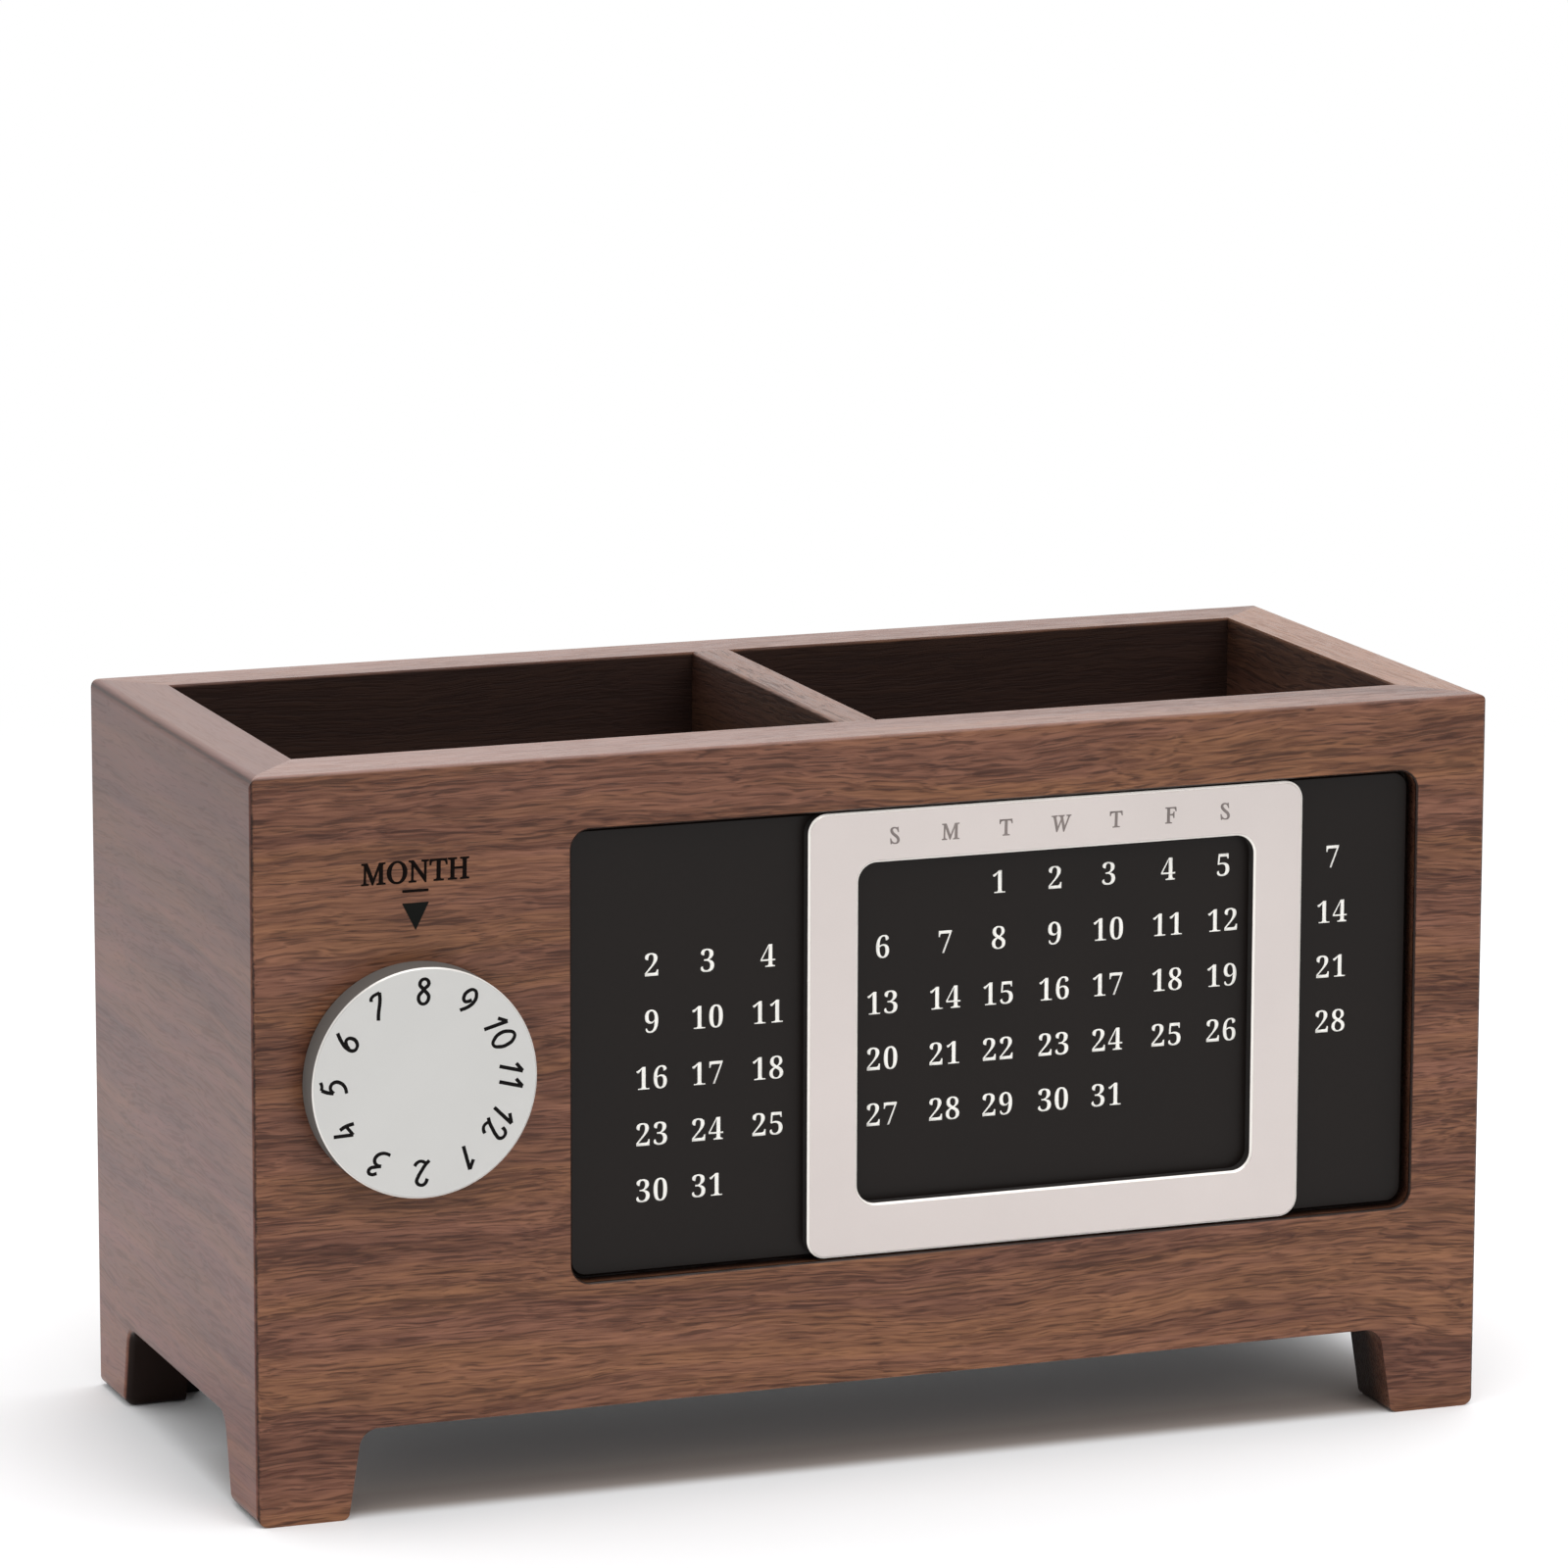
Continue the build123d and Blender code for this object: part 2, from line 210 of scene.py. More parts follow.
@dataclass(frozen=True)
class WalnutFigure:
    """The figure, fibres and pores of walnut, its grain along the first axis.

    A stretch is the scale of a noise along the grain and twice across it, per millimetre. A sway
    has its stretch and how far it bends the grain, in millimetres. A layer has its stretch, the
    range of the noise that shows and its detail. Pores have their stretch and the level of the
    noise above which they show; they are more open where a growth ring is dark.
    """

    sways: tuple[tuple[Triple, float], ...] = (
        ((0.007, 0.025, 0.025), 13.0), ((0.035, 0.10, 0.10), 2.6), ((0.15, 0.50, 0.50), 0.85))
    layers: tuple[tuple[Triple, float, float, float], ...] = (
        ((0.004, 0.10, 0.12), 0.36, 0.64, 3.0), ((0.022, 0.48, 0.48), 0.34, 0.66, 2.0),
        ((0.11, 2.3, 2.3), 0.34, 0.66, 1.0), ((0.012, 0.16, 0.16), 0.40, 0.60, 2.0))
    pores: tuple[tuple[Triple, float], ...] = (((0.07, 2.2, 2.2), 0.53), ((0.16, 3.1, 3.1), 0.54))
    ring_share: float = 0.38
    streak_share: float = 0.25
    fibre_share: float = 0.46
    patch_share: float = 0.75
    pore_share: float = 0.58
    pore_softness: float = 0.17
    pore_bias: Pair = (0.035, -0.03)
    fibre_roughness: float = 0.07
    pore_roughness: float = 0.12
    fibre_height: float = 0.35
    pore_depth: float = 0.8

    @cache
    def group(self) -> NodeTree:
        """Makes the shader node group.

        Returns:
            The group, with a colour, a roughness and a height.
        """
        wiring, given, taken = new_group(
            "walnut_figure",
            {"Place": "Vector", **dict.fromkeys(("Light", "Dark", "Warm", "Pore"), "Color"),
             **dict.fromkeys(("Contrast", "Fine"), "Float")},
            {"Color": "Color", "Roughness": "Float", "Height": "Float"})
        place, light, dark, warm, pore, contrast, fine = given
        bent = place = wiring.scaled(place, 1 / MM)
        for stretch, reach in self.sways:
            sway = wiring.noise(place, stretch, detail=1.0).node.outputs["Color"]
            aside = wiring.vector("SUBTRACT", sway, (0.5, 0.5, 0.5))
            bent = wiring.vector("ADD", bent, wiring.vector("MULTIPLY", aside, (0.0, reach, reach)))
        rings, streaks, fibres, patches = (
            wiring.remap(wiring.noise(bent, stretch, detail, roughness=0.6), low, high)
            for stretch, low, high, detail in self.layers)
        hair = wiring.sum("MULTIPLY", wiring.sum("SUBTRACT", fibres, 0.5), fine)
        tone = wiring.sum("MULTIPLY_ADD", rings, self.ring_share,
                          wiring.sum("MULTIPLY", streaks, self.streak_share))
        middle = (self.ring_share + self.streak_share) / 2
        tone = wiring.sum("MULTIPLY_ADD", hair, self.fibre_share,
                          wiring.sum("SUBTRACT", tone, middle))
        tone = wiring.sum("MULTIPLY_ADD", tone, contrast, 0.5, clamp=True)
        colour = wiring.blend(wiring.sum("MULTIPLY", patches, self.patch_share),
                              wiring.blend(tone, dark, light), wiring.blend(tone, dark, warm))
        open_grain = wiring.remap(rings, 0.1, 0.9, *self.pore_bias)
        pores = 0.0
        for stretch, threshold in self.pores:
            pattern = wiring.sum("ADD", wiring.noise(bent, stretch, detail=1.0), open_grain)
            dash = wiring.remap(pattern, threshold, threshold + self.pore_softness, smooth=True)
            pores = wiring.sum("MAXIMUM", pores, dash)
        pores = wiring.sum("MULTIPLY", pores, fine)
        dulling = wiring.sum("MULTIPLY", pores, self.pore_roughness)
        wiring.fill(taken,
                    Color=wiring.blend(wiring.sum("MULTIPLY", pores, self.pore_share), colour, pore),
                    Roughness=wiring.sum("MULTIPLY_ADD", hair, self.fibre_roughness, dulling),
                    Height=wiring.sum("SUBTRACT", wiring.sum("MULTIPLY", hair, self.fibre_height),
                                      wiring.sum("MULTIPLY", pores, self.pore_depth)))
        return wiring.tree


@dataclass(frozen=True)
class CornerSeam:
    """A dark line on the four upright corners of the box, where the boards meet, and a painted shade
    line under its rim.
    """

    width: float = 0.44 * MM
    crumb_scale: float = 420.0
    crumbling: Pair = (0.75, 1.15)
    softness: Pair = (0.6, 1.2)
    rim_drop: float = 0.75 * MM
    rim_line: Pair = (0.08 * MM, 0.3 * MM)

    @cache
    def group(self) -> NodeTree:
        """Makes the shader node group.

        Returns:
            The group, with a mask that is 1 on the corner line and another for the painted shade line
            at the rim.
        """
        wiring, given, taken = new_group(
            "corner_seam", dict.fromkeys(("Place", "Middle", "Half Size"), "Vector"),
            dict.fromkeys(("Mask", "Top Edge"), "Float"))
        place, middle, half = given
        aside = wiring.vector("SUBTRACT", place, middle)
        across, deep, _ = wiring.split(
            wiring.vector("SUBTRACT", wiring.vector("ABSOLUTE", aside), half))
        rise = wiring.split(wiring.vector("SUBTRACT", aside, half))[2]
        edge = wiring.sum("ABSOLUTE", wiring.sum("ADD", rise, self.rim_drop))
        distance = wiring.vector("LENGTH", wiring.join(across, deep, 0.0))
        crumbs = wiring.noise(place, self.crumb_scale, detail=3.0, roughness=0.7)
        width = wiring.sum("MULTIPLY", self.width, wiring.remap(crumbs, *TONES, *self.crumbling))
        share = wiring.sum("DIVIDE", distance, width)
        wiring.fill(taken, Mask=wiring.remap(share, *self.softness, 1.0, 0.0, smooth=True),
                    Top_Edge=wiring.remap(edge, *self.rim_line, 1.0, 0.0))
        return wiring.tree


@dataclass(frozen=True)
class BlockMask:
    """A mask that is 1 inside an upright block, such as the room in the box or a sawn arch.

    It starts so far inside each side, and is full where the fade given to it ends. The top may
    have a start and an end of its own, and is then eased.
    """

    name: str
    start: float
    top: Pair | None = None

    @cache
    def group(self) -> NodeTree:
        """Makes the shader node group.

        Returns:
            The group, with its mask.
        """
        wiring, given, taken = new_group(
            self.name, {**dict.fromkeys(("Place", "Low", "High"), "Vector"), "Fade": "Float"},
            {"Mask": "Float"})
        place, low, high, fade = given
        sides = (*wiring.split(wiring.vector("SUBTRACT", place, low)),
                 *wiring.split(wiring.vector("SUBTRACT", high, place)))
        mask = wiring.remap(sides[-1], *(self.top or (self.start, fade)), smooth=bool(self.top))
        for side in sides[:-1]:
            mask = wiring.sum("MULTIPLY", mask, wiring.remap(side, self.start, fade))
        wiring.fill(taken, Mask=mask)
        return wiring.tree


@dataclass(frozen=True)
class FineGrit:
    """Fine grit with faint clouds, as on blasted metal, satin paint or a print worn by rubbing."""

    cloud_size: float = 15 * MM
    grit_share: float = 0.4

    @cache
    def group(self) -> NodeTree:
        """Makes the shader node group.

        Returns:
            The group, with a tone around 0.5 and a height.
        """
        wiring, given, taken = new_group("fine_grit", {"Place": "Vector", "Size": "Float"},
                                         dict.fromkeys(("Tone", "Height"), "Float"))
        place, size = given
        grit = wiring.noise(place, wiring.sum("DIVIDE", 1.0, size), roughness=0.6)
        clouds = wiring.noise(place, 1 / self.cloud_size, detail=3.0)
        clouded = wiring.sum("MULTIPLY", clouds, 1 - self.grit_share)
        wiring.fill(taken, Height=grit,
                    Tone=wiring.sum("MULTIPLY_ADD", grit, self.grit_share, clouded))
        return wiring.tree


def new_material(name: str) -> tuple[Material, Wiring, Node, Source]:
    """Starts a material with a Principled surface.

    Args:
        name: The material's name.

    Returns:
        The material, its wiring, its surface node and its coordinates on the object.
    """
    material = bpy.data.materials.new(name)
    material.use_nodes = True
    wiring = Wiring(material.node_tree)
    surface = material.node_tree.nodes["Principled BSDF"]
    return material, wiring, surface, wiring.node("ShaderNodeTexCoord").outputs["Object"]


@dataclass(frozen=True)
class WalnutFinish:
    """Oiled walnut.

    The shift moves the pattern, so that no two boards come from the same place in the log. The
    share of the painted rim sheen, a paler colour on the top of the rim, holds for the left and
    the right end of the rim. The tone is painted light and shade: it scales the colour from the
    lower to the upper edge of a board, lighter low down and darker at the top.
    """

    name: str
    grain: Grain
    shift: Triple
    light: Colour = shade(132, 89, 70)
    dark: Colour = shade(69, 38, 27)
    warm: Colour = shade(139, 95, 64)
    pore: Colour = shade(40, 18, 11)
    seam: Colour = shade(16, 8, 6)
    seam_share: float = 0.88
    # Painted sheen: a paler colour blended into the top of the rim, with its depth and its share at
    # the left and the right end.
    rubbed: Colour = shade(158, 127, 119)
    rubbed_depth: Pair = (0.5 * MM, 0.1 * MM)
    rubbed_share: Pair = (0.50, 0.30)
    # Painted light and shade: the tone scales the colour from the lower to the upper edge of a board.
    tone: Pair = (1.04, 0.95)
    # Share of the painted shade along the top outer edge of a board.
    arris_share: float = 0.0
    contrast: float = 1.0
    fine: float = 1.0
    roughness: float = 0.30
    specular: float = 0.24
    relief: float = 0.04 * MM
    relief_strength: float = 0.6
    box_middle: Triple = (0.0, 0.0, 0.0)
    box_half: Triple = (0.1, 0.043, 0.057)
    inside_low: Triple = (-0.09, -0.029, 0.0)
    inside_high: Triple = (0.09, 0.035, 0.114)
    # Painted shade inside the box, where little light reaches: its colour and its share.
    inside: Colour = shade(30, 12, 6)
    inside_share: float = 0.92
    inside_roughness: float = 0.35
    # Painted shade on the faces of the sawn cuts, such as the arches and the recess.
    scorch: Colour = shade(32, 18, 12)
    cuts: tuple[tuple[Triple, Triple, float], ...] = ()

    def build(self) -> Material:
        """Builds the material.

        Returns:
            The material.
        """
        material, wiring, surface, place = new_material(self.name)
        placed = wiring.node("ShaderNodeMapping", {
            "Vector": place, "Location": self.shift, "Rotation": (0.0, 0.0, self.grain.value)})
        wood = wiring.use(WalnutFigure().group(), Place=placed.outputs[0], Light=self.light,
                          Dark=self.dark, Warm=self.warm, Pore=self.pore,
                          Contrast=self.contrast, Fine=self.fine).outputs
        across, _, up = wiring.split(place)
        top = self.box_middle[2] + self.box_half[2]
        # Painted light and shade: lighter towards the lower edge and darker towards the top.
        colour = wiring.scaled(wood["Color"], wiring.remap(up, 0.0, top, *self.tone))
        side = self.box_half[0]
        # Painted sheen on the top of the rim, stronger towards the left end.
        rim = wiring.remap(up, *(top - depth for depth in self.rubbed_depth))
        # A dark line along the upright corners where the boards meet, and painted shade along the top
        # outer edge.
        seam = wiring.use(CornerSeam().group(), Place=place, Middle=self.box_middle,
                          Half_Size=self.box_half).outputs
        # Painted shade inside the box.
        room = BlockMask("painted_inside_shade", -0.08 * MM, (0.15 * MM, 0.6 * MM)).group()
        inner = wiring.use(room, Place=place, Low=self.inside_low, High=self.inside_high,
                           Fade=-0.03 * MM).outputs["Mask"]
        # Colours blended over the wood: the painted rim sheen, the corner line, the painted edge
        # shade, and the painted shade inside the box and in its cuts.
        tints = [(rim, wiring.remap(across, -side, side, *self.rubbed_share), self.rubbed),
                  (seam["Mask"], self.seam_share, self.seam),
                  (seam["Top Edge"], self.arris_share, self.seam),
                  (inner, self.inside_share, self.inside)]
        # Painted shade on the faces of the sawn arches, the recess for the plate and its mouth.
        for low, high, fade in self.cuts:
            cut = wiring.use(BlockMask("painted_cut_shade", 0.15 * MM).group(), Place=place, Low=low,
                             High=high, Fade=fade)
            tints.append((cut.outputs["Mask"], 1.0, self.scorch))
        for mask, share, tint in tints:
            colour = wiring.blend(wiring.sum("MULTIPLY", mask, share), colour, tint)
        roughness = wiring.sum("ADD", wood["Roughness"], self.roughness)
        roughness = wiring.sum("MULTIPLY_ADD", inner, self.inside_roughness, roughness)
        wiring.fill(surface, Base_Color=colour, Specular_IOR_Level=self.specular,
                    Roughness=roughness,
                    Normal=wiring.relief(wood["Height"], self.relief, self.relief_strength))
        return material


@dataclass(frozen=True)
class CoatFinish:
    """Paint, print, burnt wood or plastic: one colour with fine grit and faint clouds.

    Unevenness is how far the colour varies, and mottle how far the roughness does.
    """

    name: str
    colour: Colour
    roughness: float
    grit: float = 0.25 * MM
    relief: float = 0.004 * MM
    unevenness: float = 0.12
    mottle: float = 0.12
    specular: float = 0.5

    def gritty(self, wiring: Wiring, place: Source,
               unevenness: float) -> tuple[Source, Source, Source]:
        """Works the grit into the surface.

        Args:
            wiring: The material's wiring.
            place: Coordinates of the grit.
            unevenness: How far the colour varies.

        Returns:
            The colour, the roughness and the normal.
        """
        grit = wiring.use(FineGrit().group(), Place=place, Size=self.grit).outputs
        level = wiring.remap(grit["Tone"], *TONES, 1 - unevenness, 1 + unevenness)
        roughness = wiring.sum("MULTIPLY_ADD", grit["Tone"], self.mottle,
                               self.roughness - self.mottle / 2)
        return (wiring.scaled(self.colour[:3], level), roughness,
                wiring.relief(grit["Height"], self.relief))

    def build(self) -> Material:
        """Builds the material.

        Returns:
            The material.
        """
        material, wiring, surface, place = new_material(self.name)
        colour, roughness, normal = self.gritty(wiring, place, self.unevenness)
        wiring.fill(surface, Base_Color=colour, Roughness=roughness, Normal=normal,
                    Specular_IOR_Level=self.specular)
        return material


@dataclass(frozen=True)
class Edges:
    """Painted highlights on the cut bevels of a blasted part that faces forward, and painted shade on
    its side walls.
    """

    face_y: float
    bevel: float
    # Colour of the painted highlight on the bevels and of the painted shade on the side walls.
    bright: Colour = shade(222, 218, 213)
    wall: Colour = shade(96, 92, 88)
    polish: float = 0.10
    dulling: float = 0.7
    wall_roughness: float = 0.75
    bevel_start: Pair = (0.02 * MM, 0.06 * MM)
    bevel_end: Pair = (0.92, 1.05)

    def masks(self, wiring: Wiring, place: Source) -> tuple[Source, Source]:
        """Finds the bevels and the side walls.

        Args:
            wiring: The material's wiring.
            place: Coordinates on the part.

        Returns:
            A mask of the bevels and a mask of the side walls.
        """
        depth = wiring.sum("SUBTRACT", wiring.split(place)[1], self.face_y)
        wall = wiring.remap(depth, *(self.bevel * share for share in self.bevel_end))
        return wiring.sum("SUBTRACT", wiring.remap(depth, *self.bevel_start), wall), wall


@dataclass(frozen=True)
class MetalFinish(CoatFinish):
    """Bare, anodised or plated metal, blasted, turned on a lathe or plated smooth.

    The centre is a point on the axis of the lathe.
    """

    grit: float = 0.18 * MM
    relief: float = 0.006 * MM
    unevenness: float = 0.03
    plated_unevenness: float = 0.05
    mottle: float = 0.10
    texture: Texture = Texture.BLASTED
    centre: Triple = (0.0, 0.0, 0.0)
    edges: Edges | None = None

    def build(self) -> Material:
        """Builds the material.

        Returns:
            The material.
        """
        material, wiring, surface, place = new_material(self.name)
        marks = place
        if self.texture is Texture.TURNED:
            across, _, up = wiring.split(wiring.vector("SUBTRACT", place, self.centre))
            radius = wiring.vector("LENGTH", wiring.join(across, 0.0, up))
            marks = wiring.join(radius, 0.0, 0.0)
        plated = self.texture is Texture.PLATED
        colour, roughness, normal = self.gritty(
            wiring, marks, self.plated_unevenness if plated else self.unevenness)
        metallic = 1.0
        if self.edges:
            # Painted highlight on the bevels and painted shade on the side walls.
            bright, wall = self.edges.masks(wiring, place)
            colour = wiring.blend(wall, colour, self.edges.wall)
            colour = wiring.blend(bright, colour, self.edges.bright)
            roughness = wiring.sum("MULTIPLY_ADD", bright, -self.edges.polish, roughness)
            roughness = wiring.remap(wall, 0.0, 1.0, roughness, self.edges.wall_roughness)
            metallic = wiring.sum("MULTIPLY_ADD", bright, -self.edges.dulling,
                                  wiring.sum("SUBTRACT", 1.0, wall))
        wiring.fill(surface, Base_Color=colour, Metallic=metallic, Roughness=roughness,
                    Normal=normal)
        return material


def dress(node: str, material: Material) -> None:
    """Gives a CAD node its finish.

    Args:
        node: The node's name.
        material: The finish.
    """
    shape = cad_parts[node].data
    shape.materials.clear()
    shape.materials.append(material)
    LOG.info("dressed %s with %s", node, material.name)


def in_scene(name: str, content: bpy.types.ID) -> bpy.types.Object:
    """Puts a mesh, curve, lamp or camera in the scene.

    Args:
        name: Name of the object.
        content: What it shows.

    Returns:
        The object.
    """
    made = bpy.data.objects.new(name, content)
    bpy.context.scene.collection.objects.link(made)
    return made


def mesh_from(work: bmesh.types.BMesh, name: str) -> Mesh:
    """Writes worked faces to a new mesh.

    Args:
        work: The faces. They are used up.
        name: Name of the mesh.

    Returns:
        The mesh.
    """
    mesh = bpy.data.meshes.new(name)
    work.to_mesh(mesh)
    work.free()
    return mesh


FRONT_FACING = Matrix.Rotation(math.pi / 2, 4, "X")


@dataclass
class Layer:
    """Marks of one kind on a face that looks forward, half sunk in it and kept as one mesh."""

    name: str
    face_y: float
    marks: bmesh.types.BMesh = field(default_factory=bmesh.new)

    def add(self, mark: Mesh, x: float, z: float, turn: float = 0.0) -> None:
        """Lays a flat mark on the face.

        Args:
            mark: The mark, flat in its own first two axes. It is used up.
            x: Where its origin goes along the box.
            z: Where its origin goes upwards.
            turn: Turn in its plane, anticlockwise as seen from the front.
        """
        mark.transform(Matrix.Translation((x, self.face_y, z)) @ FRONT_FACING
                       @ Matrix.Rotation(turn, 4, "Z"))
        self.marks.from_mesh(mark)
        bpy.data.meshes.remove(mark)

    def finish(self, material: Material, body: str, slot: str) -> None:
        """Makes the piece and lets it ride.

        Args:
            material: Finish of the marks.
            body: CAD body that carries them.
            slot: Slot of the record that the carrying face takes its finish from; it is not used.
        """
        bmesh.ops.remove_doubles(self.marks, verts=self.marks.verts, dist=1e-7)
        bmesh.ops.recalc_face_normals(self.marks, faces=self.marks.faces)
        mesh = mesh_from(self.marks, self.name)
        mesh.materials.append(material)
        piece = in_scene(self.name, mesh)
        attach(piece, body)
        LOG.info("built %s with %d faces", self.name, len(mesh.polygons))


def mesh_of(curve: bpy.types.Curve) -> Mesh:
    """Makes a curve or a text into a mesh and removes it.

    Args:
        curve: The curve or text.

    Returns:
        Its mesh.
    """
    holder = in_scene("holder", curve)
    shape = bpy.data.meshes.new_from_object(
        holder.evaluated_get(bpy.context.evaluated_depsgraph_get()))
    bpy.data.objects.remove(holder)
    bpy.data.curves.remove(curve)
    return shape


@dataclass(frozen=True)
class Type:
    """A serif face for printing and engraving, with upright capitals and bold figures.

    The capitals are the slanted capitals of Blender's own type set upright by a shear.
    """

    height: float
    width_ratio: float = 1.0
    weight: float = 0.0
    shear: float = 0.0
    first_capital: int = 0x1D434
    first_figure: int = 0x1D7CE
    body_height: float = 0.70

    def letters(self, word: str) -> str:
        """Gives the type's own signs for plain capitals and figures."""
        return "".join(chr(self.first_figure + int(sign) if sign.isdigit()
                           else self.first_capital + ord(sign) - ord("A")) for sign in word)

    def set(self, word: str, thickness: float) -> Mesh:
        """Sets a word, centred on its origin across and standing on it.

        Args:
            word: Plain capitals and figures.
            thickness: Thickness of the letters.

        Returns:
            The word's mesh.
        """
        text = bpy.data.curves.new("word", "FONT")
        text.body = self.letters(word)
        text.shear = self.shear
        text.offset = self.weight
        text.resolution_u = 4
        shape = mesh_of(text)
        low = min(vertex.co.x for vertex in shape.vertices)
        high = max(vertex.co.x for vertex in shape.vertices)
        size = self.height / self.body_height
        shape.transform(Matrix.Diagonal((size * self.width_ratio, size, 1.0, 1.0))
                        @ Matrix.Translation((-(low + high) / 2, 0.0, 0.0)))
        return thicken(shape, thickness)


def thicken(shape: Mesh, thickness: float) -> Mesh:
    """Gives a flat mesh a thickness, half to each side.

    Args:
        shape: The flat mesh. It is used up.
        thickness: The thickness.

    Returns:
        The closed mesh.
    """
    work = bmesh.new()
    work.from_mesh(shape)
    bmesh.ops.remove_doubles(work, verts=work.verts, dist=1e-7)
    bmesh.ops.translate(work, verts=work.verts, vec=(0.0, 0.0, -thickness / 2))
    raised = bmesh.ops.extrude_face_region(work, geom=work.faces[:], use_keep_orig=True)
    top = [item for item in raised["geom"] if isinstance(item, bmesh.types.BMVert)]
    bmesh.ops.translate(work, verts=top, vec=(0.0, 0.0, thickness))
    bmesh.ops.recalc_face_normals(work, faces=work.faces)
    work.to_mesh(shape)
    work.free()
    return shape


Stroke = tuple[tuple[int, int], ...]


@dataclass(frozen=True)
class Pen:
    """A nib that writes slanted figures.

    Each figure is 100 units tall and centred across. A stroke runs smoothly through its points,
    and is closed if it ends where it starts. The thin share is the width of a level stroke beside
    that of an upright one.
    """

    height: float = 4.1 * MM
    width: float = 0.58 * MM
    thin: float = 0.85
    pitch: float = 0.575
    figures: dict[str, tuple[Stroke, ...]] = field(default_factory=lambda: {
        "0": (((5, 94), (-16, 77), (-25, 48), (-19, 22), (-2, 6), (18, 24), (26, 51), (21, 81),
              (5, 94)),),
        "1": (((-21, 69), (8, 94)), ((9, 95), (-13, 5))),
        "2": (((-21, 71), (-13, 88), (2, 94), (19, 82), (14, 62), (1, 40), (-13, 19), (-28, 4)),
              ((-17, 14), (5, 5), (21, 12), (28, 22))),
        "3": (((-14, 81), (0, 93), (16, 91), (18, 77), (1, 62), (-16, 51)), ((-16, 51), (2, 54),
              (17, 44), (19, 29), (7, 10), (-10, 2), (-27, 1))),
        "4": (((11, 94), (-22, 28)), ((-22, 28), (21, 36)), ((20, 62), (21, 40), (13, 6))),
        "5": (((24, 100), (11, 95), (-6, 96)), ((-6, 96), (-15, 73), (-19, 50)), ((-19, 50),
              (-6, 61), (10, 61), (22, 45), (19, 27), (3, 9), (-22, 1))),
        "6": (((13, 95), (-6, 68), (-20, 34), (-16, 9), (-2, 3), (15, 12), (21, 34), (8, 52),
              (-9, 44), (-18, 28)),),
        "7": (((-17, 81), (-10, 92), (26, 94)), ((26, 94), (13, 67), (-15, 28), (-28, 6))),
        "8": (((0, 57), (-15, 79), (2, 96), (19, 80), (0, 57), (-20, 25), (-2, 4), (19, 27),
              (0, 57)),),
        "9": (((11, 60), (0, 48), (-12, 44), (-22, 58), (-18, 81), (2, 96), (19, 81), (22, 58),
              (11, 31), (-10, 7)),),
    })

    def write(self, word: str, thickness: float) -> Mesh:
        """Writes figures centred on the origin.

        Args:
            word: The figures.
            thickness: Thickness of the ink.

        Returns:
            The mesh of the strokes.
        """
        curve = bpy.data.curves.new("strokes", "CURVE")
        curve.dimensions = "3D"
        curve.bevel_depth = self.width / 2
        curve.bevel_resolution = 2
        curve.resolution_u = 6
        curve.use_fill_caps = True
        start = -(len(word) - 1) * self.pitch / 2
        for index, sign in enumerate(word):
            for stroke in self.figures[sign]:
                closed = stroke[0] == stroke[-1]
                points = [Vector(point) / 100 for point in (stroke[:-1] if closed else stroke)]
                spline = curve.splines.new("BEZIER")
                spline.bezier_points.add(len(points) - 1)
                spline.use_cyclic_u = closed
                around = [points[-1], *points, points[0]] if closed else [points[0], *points,
                                                                          points[-1]]
                for step, knot in enumerate(spline.bezier_points):
                    across, up = points[step]
                    knot.co = ((start + index * self.pitch + across) * self.height,
                               (up - 0.5) * self.height, 0.0)
                    knot.handle_left_type = knot.handle_right_type = "AUTO"
                    run = around[step + 2] - around[step]
                    knot.radius = self.thin + (1 - self.thin) * abs(run.y) / run.length
        shape = mesh_of(curve)
        shape.transform(Matrix.Diagonal((1.0, 1.0, thickness / self.width, 1.0)))
        return shape


